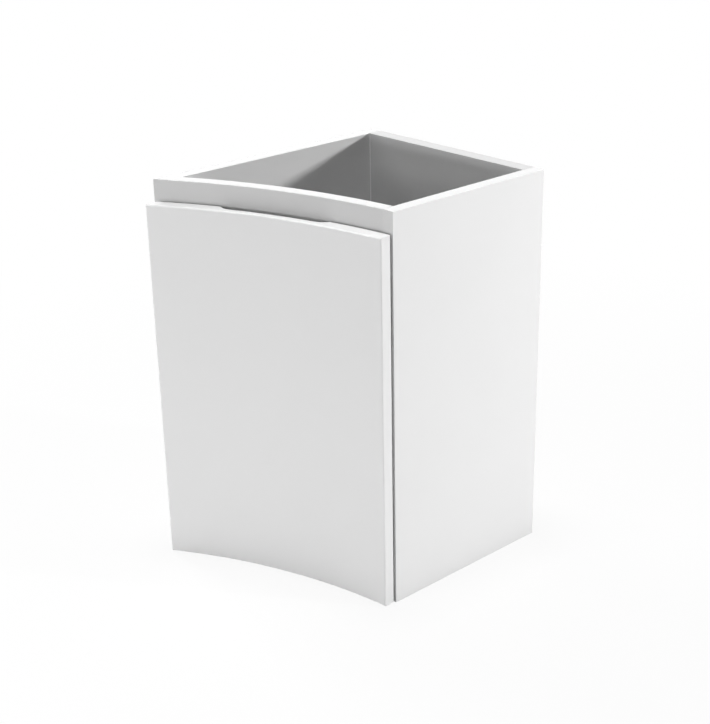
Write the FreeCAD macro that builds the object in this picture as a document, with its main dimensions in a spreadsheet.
import FreeCAD, Part
import os
import re
import Sketcher

# Side cabinet of a bathroom vanity: a white box with an open top, deeper on the left
# than on the right, whose concave front is closed by one curved slab door.
# Frame in millimetres: +Z up, front towards -Y, origin at the middle of the base.

Vector = FreeCAD.Vector
Rotation = FreeCAD.Rotation

doc = FreeCAD.newDocument("side_cabinet")
sheet = doc.addObject("Spreadsheet::Sheet", "Sizes")

SIZES = [
    # Carcass boards.
    ("cabinet_height", 450), ("cabinet_width", 275), ("right_depth", 228),
    ("front_radius", 604), ("arc_offset", 56),
    ("side_thickness", 15), ("bottom_thickness", 15), ("back_thickness", 18),
    ("fascia_thickness", 15), ("fascia_height", 80), ("board_round", 0.8),
    # Curved door with its finger pull.
    ("door_thickness", 15), ("door_gap", 3), ("door_bottom", 1.5), ("door_drop", 24),
    ("door_right_inset", 1.5), ("door_left_inset", 5.7),
    ("door_round", 1.5), ("swing_round", 2),
    ("pull_width", 134), ("pull_depth", 7.2), ("pull_height", 24), ("pull_end_radius", 18),
    ("pull_offset", 6),
    ("bumper_radius", 3.5), ("bumper_crown", 2.8), ("bumper_clearance", 0.3), ("bumper_inset", 30),
    # Loose shelf on four pins.
    ("shelf_thickness", 15), ("shelf_rise", 205), ("shelf_setback", 30),
    ("shelf_side_gap", 1), ("shelf_back_gap", 2),
    ("pin_radius", 2.5), ("pin_depth", 8), ("pin_reach", 8), ("pin_seat", 3),
    ("pin_collar_radius", 4), ("pin_collar", 1), ("pin_inset", 38), ("hole_pitch", 32),
    # Cam locks, cam bolts and dowels that join the boards.
    ("cam_radius", 7.5), ("cam_depth", 12), ("cam_distance", 24), ("cam_slot", 8),
    ("cam_drive", 2), ("bolt_thread_radius", 2.5), ("bolt_thread", 11),
    ("bolt_neck_radius", 2), ("bolt_head_radius", 3.2), ("bolt_head", 4), ("bolt_taper", 1),
    ("bolt_hole_radius", 4), ("dowel_radius", 4), ("dowel_length", 30),
    ("dowel_in_side", 10), ("dowel_chamfer", 0.8), ("dowel_spacing", 32),
    ("fixing_inset", 40), ("fixing_height", 90), ("fit_clearance", 0.1), ("overcut", 1),
    # Single-pivot concealed hinges.
    ("hinge_inset", 96), ("cup_radius", 17.5), ("cup_depth", 12.5), ("cup_wall", 0.8),
    ("cup_floor", 0.9), ("cup_edge", 3), ("cheek_thickness", 1.6), ("cheek_round", 3.2),
    ("flange_thickness", 1.2), ("flange_height", 60), ("flange_width", 21),
    ("flange_round", 6), ("cup_screw_spread", 48), ("cup_screw_offset", 9.5),
    ("pivot_edge", 7), ("pivot_depth", 8.4), ("pivot_radius", 1.25),
    ("pivot_clearance", 0.05), ("eye_radius", 2.25), ("arm_thickness", 2.4),
    ("arm_width", 9), ("arm_side_gap", 0.3), ("arm_standoff", 3.8), ("arm_dip", 2.7),
    ("arm_crank_start", 6), ("arm_crank_end", 14), ("strap_width", 14),
    ("strap_end", 64), ("rib_height", 7.8), ("rib_start", 18), ("wing_thickness", 2.5),
    ("wing_width", 14), ("wing_height", 50), ("plate_setback", 37),
    ("plate_screw_spread", 32), ("arm_screw_setback", 54), ("adjuster_setback", 26),
    ("arm_screw_radius", 2), ("arm_screw_head_radius", 3.8), ("arm_screw_head", 2),
    ("arm_screw_length", 8),
    # Wood screws, corner blocks and wall hangers.
    ("screw_radius", 1.75), ("screw_head_radius", 3.4), ("screw_tip", 2),
    ("screw_drive", 1), ("screw_drive_depth", 1.2), ("screw_cross", 3.8), ("short_screw", 11),
    ("block_screw", 28), ("block_reach", 20), ("block_height", 36), ("block_drop", 14),
    ("block_screw_setback", 15.6),
    ("hanger_width", 22), ("hanger_height", 62), ("hanger_thickness", 2),
    ("hanger_round", 4), ("hanger_inset", 62), ("hanger_drop", 60),
    ("keyhole_radius", 5), ("keyhole_slot", 2.75), ("keyhole_rise", 12),
    ("keyhole_room", 7), ("hanger_screw_spread", 48),
]
for row, (alias, value) in enumerate(SIZES, start=1):
    sheet.set(f"A{row}", alias)
    sheet.set(f"B{row}", str(value))
    sheet.setAlias(f"B{row}", alias)
doc.recompute()

# Places that follow from the sizes. Angles are degrees at the centre of the front
# curve, counted from straight back towards the left.
LAYOUT = [
    ("right_face", "cabinet_width / 2"),
    ("left_face", "-cabinet_width / 2"),
    ("right_inner", "right_face - side_thickness"),
    ("left_inner", "left_face + side_thickness"),
    ("door_back_radius", "front_radius - door_gap"),
    ("door_front_radius", "door_back_radius - door_thickness"),
    ("arc_x", "right_face + arc_offset"),
    ("arc_sagitta", "sqrt(front_radius ^ 2 - (arc_x - right_inner) ^ 2)"),
    ("door_left", "left_face + door_left_inset"),
    ("eased_radius", "door_front_radius + door_round"),
    ("eased_left", "door_left + door_round"),
    ("door_corner", "sqrt(eased_radius ^ 2 - (arc_x - eased_left) ^ 2) - door_round"),
    ("overall_depth", "right_depth + arc_sagitta - door_corner"),
    ("back_face", "overall_depth / 2"),
    ("back_inner", "back_face - back_thickness"),
    ("right_front", "back_face - right_depth"),
    ("arc_y", "right_front - arc_sagitta"),
    ("left_front", "arc_y + sqrt(front_radius ^ 2 - (arc_x - left_inner) ^ 2)"),
    ("front_limit", "-overall_depth / 2"),
    ("door_top", "cabinet_height - door_drop"),
    ("door_height", "door_top - door_bottom"),
    ("edge_angle", "asin((arc_offset + door_right_inset) / door_back_radius) / 1 deg"),
    ("cup_angle", "edge_angle + (cup_edge + cup_radius) / door_back_radius * 180 / pi"),
    ("pull_angle", "asin((arc_x + pull_offset) / door_back_radius) / 1 deg"),
    ("pull_run", "sqrt(2 * pull_end_radius * pull_depth - pull_depth ^ 2)"),
    ("pull_half", "(pull_width / 2 - pull_run) / door_back_radius * 180 / pi"),
    ("bumper_x", "(door_left + left_inner) / 2"),
    ("bumper_angle", "asin((arc_x - bumper_x) / door_back_radius) / 1 deg"),
    ("hinge_low", "door_bottom + hinge_inset"),
    ("hinge_high", "door_top - hinge_inset"),
    ("pivot_across", "cup_edge + cup_radius - pivot_edge"),
    ("pivot_reach", "door_back_radius - pivot_depth"),
    ("pivot_x", "arc_x + pivot_across * cos(cup_angle) - pivot_reach * sin(cup_angle)"),
    ("pivot_y", "arc_y + pivot_across * sin(cup_angle) + pivot_reach * cos(cup_angle)"),
    ("neck_x", "right_inner - arm_standoff"),
    ("elbow_y", "pivot_y - arm_dip"),
    ("strap_x", "right_inner - rib_height - arm_thickness / 2"),
    ("shelf_front_left", "arc_y + sqrt((front_radius + shelf_setback) ^ 2 - (arc_x - left_inner) ^ 2)"),
    ("shelf_front_right", "arc_y + sqrt((front_radius + shelf_setback) ^ 2 - (arc_x - right_inner) ^ 2)"),
    ("pin_height", "shelf_rise - pin_seat / 2"),
    ("fascia_back_radius", "front_radius + fascia_thickness"),
    ("fascia_bottom", "cabinet_height - fascia_height"),
    ("block_bottom", "cabinet_height - block_drop - block_height"),
    ("block_left_y", "arc_y + sqrt(fascia_back_radius ^ 2 - (arc_x - left_inner) ^ 2)"),
    ("block_right_y", "arc_y + sqrt(fascia_back_radius ^ 2 - (arc_x - right_inner) ^ 2)"),
    ("hanger_z", "cabinet_height - hanger_drop"),
]
OWNER = {alias: "Sizes." for alias, value in SIZES}
OWNER.update({name: "Layout." for name, text in LAYOUT})


def full(text):
    """Write out which object each named size in an expression belongs to."""
    return re.sub(r"[a-z_]+", lambda word: OWNER.get(word.group(), "") + word.group(), str(text))


layout = doc.addObject("App::VarSet", "Layout")
for name, text in LAYOUT:
    layout.addProperty("App::PropertyFloat", name, "Places")
    layout.setExpression(name, full(text))
doc.recompute()

PIECES = []


def piece(shape_object, label):
    """Name a finished sub-part; its label is the name of its file."""
    shape_object.Label = label
    PIECES.append(shape_object)
    return shape_object


def bind(target, **texts):
    """Tie properties to expressions of the named sizes."""
    for name, text in texts.items():
        target.setExpression(name, full(text))


def put(target, x=0, y=0, z=0, turn=None, angle=None):
    """Place an object: tied position, fixed turn, or a tied angle about the vertical."""
    if turn is not None:
        target.Placement = FreeCAD.Placement(Vector(), turn)
    for axis, text in zip("xyz", (x, y, z)):
        target.setExpression("Placement.Base." + axis, full(text))
    if angle is not None:
        target.setExpression("Placement.Rotation.Angle", full(angle))
    return target


ALONG_X = Rotation(Vector(0, 1, 0), 90)
ALONG_MINUS_X = Rotation(Vector(0, 1, 0), -90)
ALONG_Y = Rotation(Vector(1, 0, 0), -90)
ALONG_MINUS_Y = Rotation(Vector(1, 0, 0), 90)
HALF_TURN = Rotation(Vector(0, 0, 1), 180)


def box(size, at):
    """A block: three lengths and the place of its lowest corner."""
    block = doc.addObject("Part::Box", "Block")
    bind(block, Length=size[0], Width=size[1], Height=size[2])
    return put(block, *at)


def rod(radius, length, at=(0, 0, 0), turn=None):
    """A round bar from a point, upwards unless turned."""
    bar = doc.addObject("Part::Cylinder", "Rod")
    bind(bar, Radius=radius, Height=length)
    return put(bar, *at, turn=turn)


def drum(radius, bottom, height):
    """A cylinder about the centre of the front curve."""
    return rod(radius, height, ("arc_x", "arc_y", bottom))


def fuse(*shapes):
    """Join solids into one."""
    joined = doc.addObject("Part::MultiFuse", "Fuse")
    joined.Shapes = list(shapes)
    joined.Refine = True
    return joined


def cut(base, *tools):
    """Take tools away from a base."""
    result = doc.addObject("Part::Cut", "Cut")
    result.Base = base
    result.Tool = tools[0] if len(tools) == 1 else fuse(*tools)
    result.Refine = True
    return result


def common(first, second):
    """Keep what two solids share."""
    result = doc.addObject("Part::MultiCommon", "Common")
    result.Shapes = [first, second]
    return result


def group(*members):
    """Several separate solids carried as one object."""
    bundle = doc.addObject("Part::Compound", "Group")
    bundle.Links = list(members)
    return bundle


def copy_of(pattern, x=0, y=0, z=0, turn=None, angle=None):
    """The same shape again in another place."""
    return put(group(pattern), x, y, z, turn, angle)


def on_door(shape, angle, z=0):
    """Carry a shape drawn at the curve's centre, +Y outwards, to an angle of the door."""
    return copy_of(shape, "arc_x", "arc_y", z, angle=angle)


def outline(body, plane, points):
    """A closed sketch of straight lines, every corner tied to named sizes."""
    sketch = body.newObject("Sketcher::SketchObject", "Outline")
    support = [f for f in body.Origin.OriginFeatures if f.Role == plane][0]
    sketch.AttachmentSupport = [(support, "")]
    sketch.MapMode = "FlatFace"
    tied = [(full(u), full(v)) for u, v in points]
    corners = [Vector(*[float(sketch.evalExpression(text)) for text in pair]) for pair in tied]
    count = len(corners)
    for i in range(count):
        sketch.addGeometry(Part.LineSegment(corners[i], corners[(i + 1) % count]))
    for i in range(count):
        sketch.addConstraint(Sketcher.Constraint("Coincident", i, 2, (i + 1) % count, 1))
    for i in range(count):
        for kind, text, value in zip(("DistanceX", "DistanceY"), tied[i], corners[i]):
            tie = sketch.addConstraint(Sketcher.Constraint(kind, -1, 1, i, 1, value))
            sketch.setExpression(f"Constraints[{tie}]", text)
    return sketch


def turned(points):
    """A body turned about the vertical from a half section of radius and height."""
    body = doc.addObject("PartDesign::Body", "Turned")
    sketch = outline(body, "XZ_Plane", points)
    spin = body.newObject("PartDesign::Revolution", "Spin")
    spin.Profile = sketch
    spin.ReferenceAxis = (sketch, ["V_Axis"])
    spin.Angle = 360
    return body


def flat(points, thickness):
    """A plate: an outline in plan, raised by its thickness."""
    body = doc.addObject("PartDesign::Body", "Plate")
    pad = body.newObject("PartDesign::Pad", "Thickness")
    pad.Profile = outline(body, "XY_Plane", points)
    bind(pad, Length=thickness)
    return body


def rounded(base, choose, radius):
    """Round the edges of a shape that the given test picks."""
    doc.recompute()
    picked = [f"Edge{i}" for i, edge in enumerate(base.Shape.Edges, start=1) if choose(edge)]
    if base.TypeId == "PartDesign::Body":
        body, before = base, base.Tip
    else:
        body = doc.addObject("PartDesign::Body", "Rounded")
        body.BaseFeature = base
        doc.recompute()
        before = body.Tip
    easing = body.newObject("PartDesign::Fillet", "Easing")
    easing.Base = (before, picked)
    bind(easing, Radius=radius)
    doc.recompute()
    return body


def size(name):
    """The present value of a named size or place."""
    return float(layout.evalExpression(full(name)))


def near(a, b):
    return abs(a - b) < 1e-4


def span(edge, axis):
    """Length of an edge's shadow on one axis."""
    return getattr(edge.BoundBox, axis + "Length")


def middle(edge):
    return edge.valueAt((edge.FirstParameter + edge.LastParameter) / 2)


def upright(edge):
    return span(edge, "X") < 1e-4 and span(edge, "Y") < 1e-4


def from_arc_centre(point):
    """Distance of a point from the axis of the front curve, in plan."""
    return ((point.x - size("arc_x")) ** 2 + (point.y - size("arc_y")) ** 2) ** 0.5


# Fasteners. Each pattern is drawn once at the origin and repeated where it is used.

def cross_recess(head_z):
    """The cross slot of a screw head, sunk from its top."""
    floor = f"{head_z} - screw_drive_depth"
    return fuse(box(("screw_cross", "screw_drive", "screw_drive_depth"),
                    ("-screw_cross / 2", "-screw_drive / 2", floor)),
                box(("screw_drive", "screw_cross", "screw_drive_depth"),
                    ("-screw_drive / 2", "-screw_cross / 2", floor)))


def countersunk_screw(length):
    """Wood screw with its flat head at z = 0 and its tip down."""
    shank = turned([("0", "0"), ("screw_head_radius", "0"),
                    ("screw_radius", "screw_radius - screw_head_radius"),
                    ("screw_radius", f"screw_tip - {length}"),
                    ("0", f"-{length}")])
    return cut(shank, cross_recess("0"))


def screw_bore(depth):
    """The bored seat of such a screw, a little deeper than the screw."""
    head = "(screw_head_radius + fit_clearance)"
    hole = "(screw_radius + fit_clearance)"
    return turned([("0", "overcut"), (head, "overcut"), (head, "0"), (hole, f"{hole} - {head}"),
                   (hole, f"-{depth} - fit_clearance"), ("0", f"-{depth} - fit_clearance")])


dowel = turned([("0", "-dowel_in_side"), ("dowel_radius - dowel_chamfer", "-dowel_in_side"),
                ("dowel_radius", "dowel_chamfer - dowel_in_side"),
                ("dowel_radius", "dowel_length - dowel_in_side - dowel_chamfer"),
                ("dowel_radius - dowel_chamfer", "dowel_length - dowel_in_side"),
                ("0", "dowel_length - dowel_in_side")])
dowel_bore = rod("dowel_radius + fit_clearance", "dowel_length + 2 * fit_clearance",
                 (0, 0, "-dowel_in_side - fit_clearance"))

cam_bolt = turned([("0", "-bolt_thread"), ("bolt_thread_radius - dowel_chamfer", "-bolt_thread"),
                   ("bolt_thread_radius", "dowel_chamfer - bolt_thread"),
                   ("bolt_thread_radius", "0"), ("bolt_head_radius", "0"),
                   ("bolt_head_radius", "bolt_taper"), ("bolt_neck_radius", "2 * bolt_taper"),
                   ("bolt_neck_radius", "cam_distance - bolt_head / 2"),
                   ("bolt_head_radius", "cam_distance - bolt_head / 2 + bolt_taper"),
                   ("bolt_head_radius", "cam_distance + bolt_head / 2 - bolt_taper"),
                   ("bolt_neck_radius", "cam_distance + bolt_head / 2"),
                   ("0", "cam_distance + bolt_head / 2")])
BOLT_END = "cam_distance + bolt_head / 2 + fit_clearance"
bolt_bore = turned([("0", "-bolt_thread - fit_clearance"),
                    ("bolt_thread_radius + fit_clearance", "-bolt_thread - fit_clearance"),
                    ("bolt_thread_radius + fit_clearance", "0"), ("bolt_hole_radius", "0"),
                    ("bolt_hole_radius", BOLT_END), ("0", BOLT_END)])


def cam_lock(board):
    """Cam for a board of the given thickness: face at z = 0, slot towards -X."""
    barrel = rod("cam_radius", "cam_depth")
    slot = box(("cam_radius + cam_slot / 2", "cam_slot", "cam_slot"),
               ("-cam_radius", "-cam_slot / 2", f"{board} / 2 - cam_slot / 2"))
    drive = box(("cam_radius", "cam_drive", "cam_drive"),
                ("-cam_radius / 2", "-cam_drive / 2", "0"))
    return cut(barrel, slot, drive)


cam_bore = rod("cam_radius + fit_clearance", "cam_depth + fit_clearance")
bottom_cam = cam_lock("bottom_thickness")
back_cam = cam_lock("back_thickness")

# Where the boards are joined: the bottom along each side, the back up each side.
BOTTOM_MIDDLE = "bottom_thickness / 2"
BACK_MIDDLE = "back_face - back_thickness / 2"
REAR_JOINT = "back_inner - fixing_inset"
SIDES = {
    "left": ("left_inner", ALONG_X, Rotation(), "left_front + fixing_inset"),
    "right": ("right_inner", ALONG_MINUS_X, HALF_TURN, "right_front + fixing_inset"),
}

bottom_fittings = {"cams": [], "bolts": [], "dowels": [], "cam bores": []}
back_fittings = {"cams": [], "bolts": [], "dowels": [], "cam bores": []}
end_bores = {"left": [], "right": [], "bottom": [], "back": []}
for side, (face, outwards, slot_turn, front_joint) in SIDES.items():
    inwards = "+" if side == "left" else "-"
    cam_x = f"{face} {inwards} cam_distance"
    for joint_y, step in ((front_joint, "+"), (REAR_JOINT, "-")):
        dowel_y = f"{joint_y} {step} dowel_spacing"
        bottom_fittings["cams"].append(copy_of(bottom_cam, cam_x, joint_y, 0, slot_turn))
        bottom_fittings["cam bores"].append(copy_of(cam_bore, cam_x, joint_y, 0))
        bottom_fittings["bolts"].append(copy_of(cam_bolt, face, joint_y, BOTTOM_MIDDLE, outwards))
        bottom_fittings["dowels"].append(copy_of(dowel, face, dowel_y, BOTTOM_MIDDLE, outwards))
        for pattern, y in ((bolt_bore, joint_y), (dowel_bore, dowel_y)):
            bore = copy_of(pattern, face, y, BOTTOM_MIDDLE, outwards)
            end_bores[side].append(bore)
            end_bores["bottom"].append(bore)
    back_slot_turn = ALONG_MINUS_Y.multiply(slot_turn)
    for joint_z, step in (("fixing_height", "+"), ("cabinet_height - fixing_height", "-")):
        dowel_z = f"{joint_z} {step} dowel_spacing"
        back_fittings["cams"].append(copy_of(back_cam, cam_x, "back_face", joint_z, back_slot_turn))
        back_fittings["cam bores"].append(copy_of(cam_bore, cam_x, "back_face", joint_z, ALONG_MINUS_Y))
        back_fittings["bolts"].append(copy_of(cam_bolt, face, BACK_MIDDLE, joint_z, outwards))
        back_fittings["dowels"].append(copy_of(dowel, face, BACK_MIDDLE, dowel_z, outwards))
        for pattern, z in ((bolt_bore, joint_z), (dowel_bore, dowel_z)):
            bore = copy_of(pattern, face, BACK_MIDDLE, z, outwards)
            end_bores[side].append(bore)
            end_bores["back"].append(bore)

for board, fittings in (("bottom", bottom_fittings), ("back", back_fittings)):
    piece(group(*fittings["cams"]), f"{board}_cam_locks")
    piece(group(*fittings["bolts"]), f"{board}_cam_bolts")
    piece(group(*fittings["dowels"]), f"{board}_dowels")

# Shelf pins: a round peg with a collar and a flat tongue that the shelf lies on.
shelf_pin = fuse(rod("pin_radius", "pin_depth", (0, 0, "-pin_depth")),
                 rod("pin_collar_radius", "pin_collar"),
                 box(("pin_seat", "2 * pin_radius", "pin_reach"),
                     ("-pin_seat / 2", "-pin_radius", "0")))
pin_bore = rod("pin_radius + fit_clearance", "pin_depth + fit_clearance",
               (0, 0, "-pin_depth - fit_clearance"))
PIN_PLACES = {
    "left": ("shelf_front_left + pin_inset", "back_inner - shelf_back_gap - pin_inset"),
    "right": ("shelf_front_right + pin_inset", "back_inner - shelf_back_gap - pin_inset"),
}
shelf_pins = []
for side, places in PIN_PLACES.items():
    face, outwards = SIDES[side][:2]
    for y in places:
        shelf_pins.append(copy_of(shelf_pin, face, y, "pin_height", outwards))
        for step in (-1, 0, 1):
            hole_z = f"pin_height + {step} * hole_pitch"
            end_bores[side].append(copy_of(pin_bore, face, y, hole_z, outwards))
piece(group(*shelf_pins), "shelf_pins")

# Corner blocks behind the fascia, screwed to it and to the side panels.
fascia_bores = []
block_screws = []
block_screw = countersunk_screw("block_screw")
block_screw_bore = screw_bore("block_screw")
fascia_drum = drum("fascia_back_radius + fit_clearance", "block_bottom - overcut",
                   "block_height + 2 * overcut")
BLOCK_MIDDLE = "block_bottom + block_height / 2"
for side in SIDES:
    face, outwards = SIDES[side][:2]
    corner_y = f"block_{side}_y"
    start_x = face if side == "left" else f"{face} - block_reach"
    blank = cut(box(("block_reach", "2 * block_reach", "block_height"),
                    (start_x, f"{corner_y} - block_reach", "block_bottom")), fascia_drum)
    inner_x = f"{face} + block_reach" if side == "left" else f"{face} - block_reach"
    side_screw_y = f"{corner_y} + block_screw_setback"
    holes = []
    for step in (-1, 1):
        z = f"{BLOCK_MIDDLE} + {step} * block_height / 4"
        block_screws.append(copy_of(block_screw, inner_x, side_screw_y, z, outwards))
        holes.append(copy_of(block_screw_bore, inner_x, side_screw_y, z, outwards))
    end_bores[side].extend(holes)
    middle_x = f"{face} + block_reach / 2" if side == "left" else f"{face} - block_reach / 2"
    rear_y = f"{corner_y} + block_reach"
    fascia_hole = copy_of(block_screw_bore, middle_x, rear_y, BLOCK_MIDDLE, ALONG_Y)
    piece(cut(blank, *holes, fascia_hole), f"fascia_block_{side}")
    block_screws.append(copy_of(block_screw, middle_x, rear_y, BLOCK_MIDDLE, ALONG_Y))
    fascia_bores.append(fascia_hole)
piece(group(*block_screws), "fascia_block_screws")

# Wall hangers: keyhole plates let into the rear of the back panel.
THROUGH_HANGER = "hanger_thickness + 2 * overcut"
keyhole = fuse(rod("keyhole_radius", THROUGH_HANGER, (0, 0, "-overcut")),
               rod("keyhole_slot", THROUGH_HANGER, (0, "keyhole_rise", "-overcut")),
               box(("2 * keyhole_slot", "keyhole_rise", THROUGH_HANGER),
                   ("-keyhole_slot", 0, "-overcut")))
half_w = "hanger_width / 2"
half_h = "hanger_height / 2"
hanger_blank = rounded(flat([(f"-{half_w}", f"-{half_h}"), (half_w, f"-{half_h}"),
                             (half_w, half_h), (f"-{half_w}", half_h)], "hanger_thickness"),
                       upright, "hanger_round")
short_screw = countersunk_screw("short_screw")
short_screw_bore = screw_bore("short_screw")
hanger_screw_places = ["hanger_screw_spread / 2", "-hanger_screw_spread / 2"]
hanger_plate = cut(hanger_blank, keyhole,
                   *[copy_of(short_screw_bore, 0, y, "hanger_thickness") for y in hanger_screw_places])
hanger_recess = fuse(box(("hanger_width + 2 * fit_clearance", "hanger_height + 2 * fit_clearance",
                          "hanger_thickness + overcut"),
                         (f"-{half_w} - fit_clearance", f"-{half_h} - fit_clearance", 0)),
                     box(("2 * keyhole_radius", "keyhole_rise + 2 * keyhole_radius",
                          "keyhole_room + overcut"),
                         ("-keyhole_radius", "-keyhole_radius", "-keyhole_room")))
# A plate's own X, Y and Z become the panel's -X, Z and Y.
FACING_WALL = Rotation(Vector(-1, 0, 0), Vector(0, 0, 1), Vector(0, 1, 0))
hanger_screws = []
for side, sign in (("left", "-"), ("right", "")):
    x = f"{sign}(right_inner - hanger_inset)"
    plate_y = "back_face - hanger_thickness"
    piece(copy_of(hanger_plate, x, plate_y, "hanger_z", FACING_WALL), f"hanger_plate_{side}")
    end_bores["back"].append(copy_of(hanger_recess, x, plate_y, "hanger_z", FACING_WALL))
    for rise in hanger_screw_places:
        screw_z = f"hanger_z + {rise}"
        hanger_screws.append(copy_of(short_screw, x, "back_face", screw_z, ALONG_Y))
        end_bores["back"].append(copy_of(short_screw_bore, x, "back_face", screw_z, ALONG_Y))
piece(group(*hanger_screws), "hanger_screws")

# Hinge mounting plate on the right panel: a rib that carries the arm, with two wings.
# Drawn with the panel's inner face at x = 0 and its front edge at y = 0.
HINGES = {"lower": "hinge_low", "upper": "hinge_high"}
plate_blank = fuse(box(("rib_height", "strap_end - rib_start", "strap_width"),
                       ("-rib_height", "rib_start", "-strap_width / 2")),
                   box(("wing_thickness", "wing_width", "wing_height"),
                       ("-wing_thickness", "plate_setback - wing_width / 2", "-wing_height / 2")))
arm_screw_bore = rod("arm_screw_radius + fit_clearance", "arm_screw_length + fit_clearance",
                     ("-rib_height - arm_thickness", "arm_screw_setback", 0), ALONG_X)
adjuster_bore = rod("arm_screw_radius + fit_clearance", "arm_screw_length + fit_clearance",
                    ("-rib_height - arm_thickness", "adjuster_setback", 0), ALONG_X)
plate_screw_places = ["plate_screw_spread / 2", "-plate_screw_spread / 2"]
hinge_plate = cut(plate_blank, arm_screw_bore, adjuster_bore,
                  *[copy_of(short_screw_bore, "-wing_thickness", "plate_setback", z, ALONG_MINUS_X)
                    for z in plate_screw_places])
plate_screws = []
for level, z in HINGES.items():
    piece(copy_of(hinge_plate, "right_inner", "right_front", z), f"hinge_plate_{level}")
    for rise in plate_screw_places:
        place = ("right_inner - wing_thickness", "right_front + plate_setback", f"{z} + {rise}")
        plate_screws.append(copy_of(short_screw, *place, ALONG_MINUS_X))
        end_bores["right"].append(copy_of(short_screw_bore, *place, ALONG_MINUS_X))
piece(group(*plate_screws), "hinge_plate_screws")


# Hinge arm: a swan-neck strap from the eye in the cup to the mounting plate.
def strip(x0, y0, x1, y1, width):
    """A strap of the arm's thickness between two points in plan, with round ends."""
    run = f"sqrt((({x1}) - ({x0})) ^ 2 + (({y1}) - ({y0})) ^ 2)"
    bar = box((run, "arm_thickness", width), (0, "-arm_thickness / 2", f"-({width}) / 2"))
    heading = f"atan2(({y1}) - ({y0}); ({x1}) - ({x0}))"
    ends = [rod("arm_thickness / 2", width, (x, y, f"-({width}) / 2")) for x, y in ((x0, y0), (x1, y1))]
    return [copy_of(bar, x0, y0, 0, angle=heading)] + ends


crank_start = "right_front + arm_crank_start"
crank_end = "right_front + arm_crank_end"
eye = rod("eye_radius", "arm_width", ("pivot_x", "pivot_y", "-arm_width / 2"))
neck = strip("pivot_x", "pivot_y", "neck_x", "elbow_y", "arm_width")
neck += strip("neck_x", "elbow_y", "neck_x", crank_start, "arm_width")
neck += strip("neck_x", crank_start, "strap_x", crank_end, "arm_width")
strap = strip("strap_x", crank_end, "strap_x", "right_front + strap_end - arm_thickness / 2",
              "strap_width")
pin_hole = rod("pivot_radius + pivot_clearance", "arm_width + 2 * overcut",
               ("pivot_x", "pivot_y", "-arm_width / 2 - overcut"))
arm_holes = [copy_of(bore, "right_inner", "right_front", 0) for bore in (arm_screw_bore, adjuster_bore)]
hinge_arm = cut(fuse(eye, *neck, *strap), pin_hole, *arm_holes)

arm_screw = cut(turned([("0", "arm_screw_head"),
                        ("arm_screw_head_radius - dowel_chamfer", "arm_screw_head"),
                        ("arm_screw_head_radius", "arm_screw_head - dowel_chamfer"),
                        ("arm_screw_head_radius", "0"), ("arm_screw_radius", "0"),
                        ("arm_screw_radius", "-arm_screw_length"), ("0", "-arm_screw_length")]),
                cross_recess("arm_screw_head"))
adjuster = cut(turned([("0", "0"), ("arm_screw_radius", "0"),
                       ("arm_screw_radius", "-arm_screw_length"), ("0", "-arm_screw_length")]),
               box(("2 * arm_screw_radius", "screw_drive", "screw_drive"),
                   ("-arm_screw_radius", "-screw_drive / 2", "-screw_drive")))
HEAD_X = "right_inner - rib_height - arm_thickness"
for level, z in HINGES.items():
    piece(copy_of(hinge_arm, 0, 0, z), f"hinge_arm_{level}")
for pattern, setback, label in ((arm_screw, "arm_screw_setback", "hinge_arm_screws"),
                                (adjuster, "adjuster_setback", "hinge_adjusting_screws")):
    piece(group(*[copy_of(pattern, HEAD_X, f"right_front + {setback}", z, ALONG_MINUS_X)
                  for z in HINGES.values()]), label)

# Hinge cup in the door, drawn about the curve's centre with +Y out through the door's back.
CUP_BACK = "door_back_radius"
cup_bottom = f"{CUP_BACK} - cup_depth"
cup_shell = rod("cup_radius", "cup_depth", (0, cup_bottom, 0), ALONG_Y)
mouth = rod("cup_radius - cup_wall", "cup_depth - cup_floor + flange_thickness + overcut",
            (0, f"{cup_bottom} + cup_floor", 0), ALONG_Y)
# The flange lies flat on the door's back, on the side away from the door's edge.
flange_near = "cup_screw_offset - flange_width / 2"
flange_far = "cup_screw_offset + flange_width / 2"
flange_blank = rounded(flat([(flange_near, "-flange_height / 2"), (flange_far, "-flange_height / 2"),
                             (flange_far, "flange_height / 2"), (flange_near, "flange_height / 2")],
                            "flange_thickness"), upright, "flange_round")
flange = copy_of(flange_blank, 0, CUP_BACK, 0, FACING_WALL)
cheek_inside = "arm_width / 2 + arm_side_gap"
cheek_low = f"{cup_bottom} + cup_floor / 2"
cheeks = []
for start in (cheek_inside, f"-({cheek_inside}) - cheek_thickness"):
    post = box(("2 * cheek_round", f"pivot_reach - ({cheek_low})", "cheek_thickness"),
               ("pivot_across - cheek_round", cheek_low, start))
    crown = rod("cheek_round", "cheek_thickness", ("pivot_across", "pivot_reach", start))
    cheeks.append(common(fuse(post, crown), cup_shell))
pin_length = f"2 * ({cheek_inside} + cheek_thickness)"
cup_pin_hole = rod("pivot_radius + pivot_clearance", f"{pin_length} + 2 * overcut",
                   ("pivot_across", "pivot_reach", f"-({pin_length}) / 2 - overcut"))
cup_screw_places = ["cup_screw_spread / 2", "-cup_screw_spread / 2"]
FLANGE_FACE = f"{CUP_BACK} + flange_thickness"
cup_screw_bores = [copy_of(short_screw_bore, "-cup_screw_offset", FLANGE_FACE, z, ALONG_Y)
                   for z in cup_screw_places]
hinge_cup = cut(fuse(cut(fuse(cup_shell, flange), mouth), *cheeks), cup_pin_hole, *cup_screw_bores)
hinge_pin = rod("pivot_radius", pin_length, ("pivot_across", "pivot_reach", f"-({pin_length}) / 2"))
cup_bore = rod("cup_radius + fit_clearance", "cup_depth + fit_clearance + overcut",
               (0, f"{cup_bottom} - fit_clearance", 0), ALONG_Y)
cup_screw_set = group(*[copy_of(short_screw, "-cup_screw_offset", FLANGE_FACE, z, ALONG_Y)
                        for z in cup_screw_places])
door_bores = []
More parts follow.
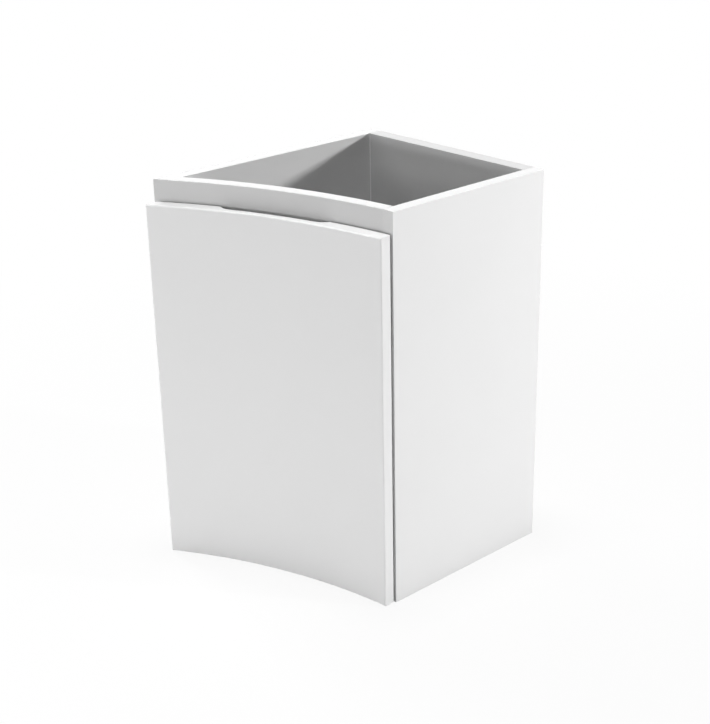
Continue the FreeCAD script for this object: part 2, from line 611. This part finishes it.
for level, z in HINGES.items():
    piece(on_door(hinge_cup, "cup_angle", z), f"hinge_cup_{level}")
    piece(on_door(hinge_pin, "cup_angle", z), f"hinge_pin_{level}")
    for bore in (cup_bore, *cup_screw_bores):
        door_bores.append(on_door(bore, "cup_angle", z))
piece(group(*[on_door(cup_screw_set, "cup_angle", z) for z in HINGES.values()]), "cup_screws")

# Soft bumpers on the door's back, opposite the left panel's front edge.
bumper_thickness = "door_gap - bumper_clearance"
bumper = turned([("0", "0"), ("bumper_radius", "0"), ("bumper_radius", f"({bumper_thickness}) / 2"),
                 ("bumper_crown", bumper_thickness), ("0", bumper_thickness)])
seated_bumper = copy_of(bumper, 0, CUP_BACK, 0, ALONG_Y)
BUMPER_LEVELS = ("door_bottom + bumper_inset", "door_top - bumper_inset")
piece(group(*[on_door(seated_bumper, "bumper_angle", z) for z in BUMPER_LEVELS]), "door_bumpers")

# Door: a sector of a ring about the front curve's centre, its right edge cut square to
# the curve and its left edge parallel to the side panel.
door_ring = cut(drum(CUP_BACK, "door_bottom", "door_height"),
                drum("door_front_radius", "door_bottom - overcut", "door_height + 2 * overcut"))
door_window = box(("cabinet_width", CUP_BACK, "door_height"), ("door_left", "arc_y", "door_bottom"))
beyond_edge = copy_of(box((CUP_BACK, f"{CUP_BACK} + door_gap", "door_height + 2 * overcut"),
                          (0, 0, "door_bottom - overcut")), "arc_x", "arc_y", 0, angle="edge_angle")
# The finger pull follows the curve and runs out at each end along the round of its cutter.
PULL_BOTTOM = "door_top - pull_height"
pull_sector = doc.addObject("Part::Cylinder", "Sector")
bind(pull_sector, Radius=f"{CUP_BACK} + door_gap", Height="pull_height + overcut", Angle="2 * pull_half")
put(pull_sector, "arc_x", "arc_y", PULL_BOTTOM, angle="90 + pull_angle - pull_half")
pull_channel = cut(pull_sector, drum(f"{CUP_BACK} - pull_depth", f"{PULL_BOTTOM} - overcut",
                                     "pull_height + 3 * overcut"))
pull_cutter = rod("pull_end_radius", "pull_height + overcut",
                  (0, f"{CUP_BACK} - pull_depth + pull_end_radius", 0))
pull_ends = [on_door(pull_cutter, f"pull_angle {sign} pull_half", PULL_BOTTOM) for sign in "+-"]
door_blank = cut(common(door_ring, door_window), beyond_edge, pull_channel, *pull_ends, *door_bores)


def swing_corner(edge):
    """The upright back corner that passes the right panel as the door opens."""
    return (upright(edge) and near(from_arc_centre(middle(edge)), size(CUP_BACK))
            and middle(edge).x > size("right_inner"))


def door_face(edge):
    """The outline of the door's front face."""
    ends = [vertex.Point for vertex in edge.Vertexes]
    return all(near(from_arc_centre(point), size("door_front_radius")) for point in ends)


door = rounded(door_blank, swing_corner, "swing_round")
piece(rounded(door, door_face, "door_round"), "door_panel")

# Carcass boards.
front_drum = drum("front_radius", "-overcut", "cabinet_height + 2 * overcut")
FRONT_ROOM = "front_limit - door_gap"


def top_edge(edge):
    """The long edges round the open top."""
    at_top = all(near(vertex.Z, size("cabinet_height")) for vertex in edge.Vertexes)
    return at_top and edge.Length > size("2 * back_thickness")


left_blank = cut(box(("side_thickness", f"back_face - ({FRONT_ROOM})", "cabinet_height"),
                     ("left_face", FRONT_ROOM, 0)), front_drum, *end_bores["left"])
right_blank = cut(box(("side_thickness", "right_depth", "cabinet_height"),
                      ("right_inner", "right_front", 0)), *end_bores["right"])
piece(rounded(left_blank, top_edge, "board_round"), "left_side_panel")
piece(rounded(right_blank, top_edge, "board_round"), "right_side_panel")

INNER_WIDTH = "cabinet_width - 2 * side_thickness"
bottom_blank = box((INNER_WIDTH, f"back_inner - ({FRONT_ROOM})", "bottom_thickness"),
                   ("left_inner", FRONT_ROOM, 0))
piece(cut(bottom_blank, front_drum, *end_bores["bottom"], *bottom_fittings["cam bores"]), "bottom_panel")

back_blank = box((INNER_WIDTH, "back_thickness", "cabinet_height"), ("left_inner", "back_inner", 0))
piece(cut(back_blank, *end_bores["back"], *back_fittings["cam bores"]), "back_panel")

fascia_ring = cut(drum("fascia_back_radius", "fascia_bottom", "fascia_height"),
                  drum("front_radius", "fascia_bottom - overcut", "fascia_height + 2 * overcut"))
fascia_window = box((INNER_WIDTH, "fascia_back_radius", "fascia_height"),
                    ("left_inner", "arc_y", "fascia_bottom"))
fascia_blank = cut(common(fascia_ring, fascia_window), *fascia_bores)
piece(rounded(fascia_blank, top_edge, "board_round"), "front_fascia")

shelf_blank = box((f"{INNER_WIDTH} - 2 * shelf_side_gap", f"back_inner - shelf_back_gap - ({FRONT_ROOM})",
                   "shelf_thickness"), ("left_inner + shelf_side_gap", FRONT_ROOM, "shelf_rise"))
shelf_drum = drum("front_radius + shelf_setback", "shelf_rise - overcut",
                  "shelf_thickness + 2 * overcut")
piece(cut(shelf_blank, shelf_drum), "shelf")

doc.recompute()
for member in doc.Objects:
    if "Invalid" in member.State or "Error" in member.State:
        raise RuntimeError(f"{member.Name} ({member.Label}) did not build")
for member in PIECES:
    if member.Shape.isNull() or not member.Shape.isValid() or not member.Shape.Solids:
        raise RuntimeError(f"{member.Label} has no valid solid")

os.makedirs("parts", exist_ok=True)
for member in PIECES:
    solids = member.Shape.Solids
    shape = solids[0] if len(solids) == 1 else Part.makeCompound(solids)
    shape.exportStep(f"parts/{member.Label}.step")
    print(f"{member.Label}: {len(solids)} solid(s), {shape.Volume:.0f} mm3")
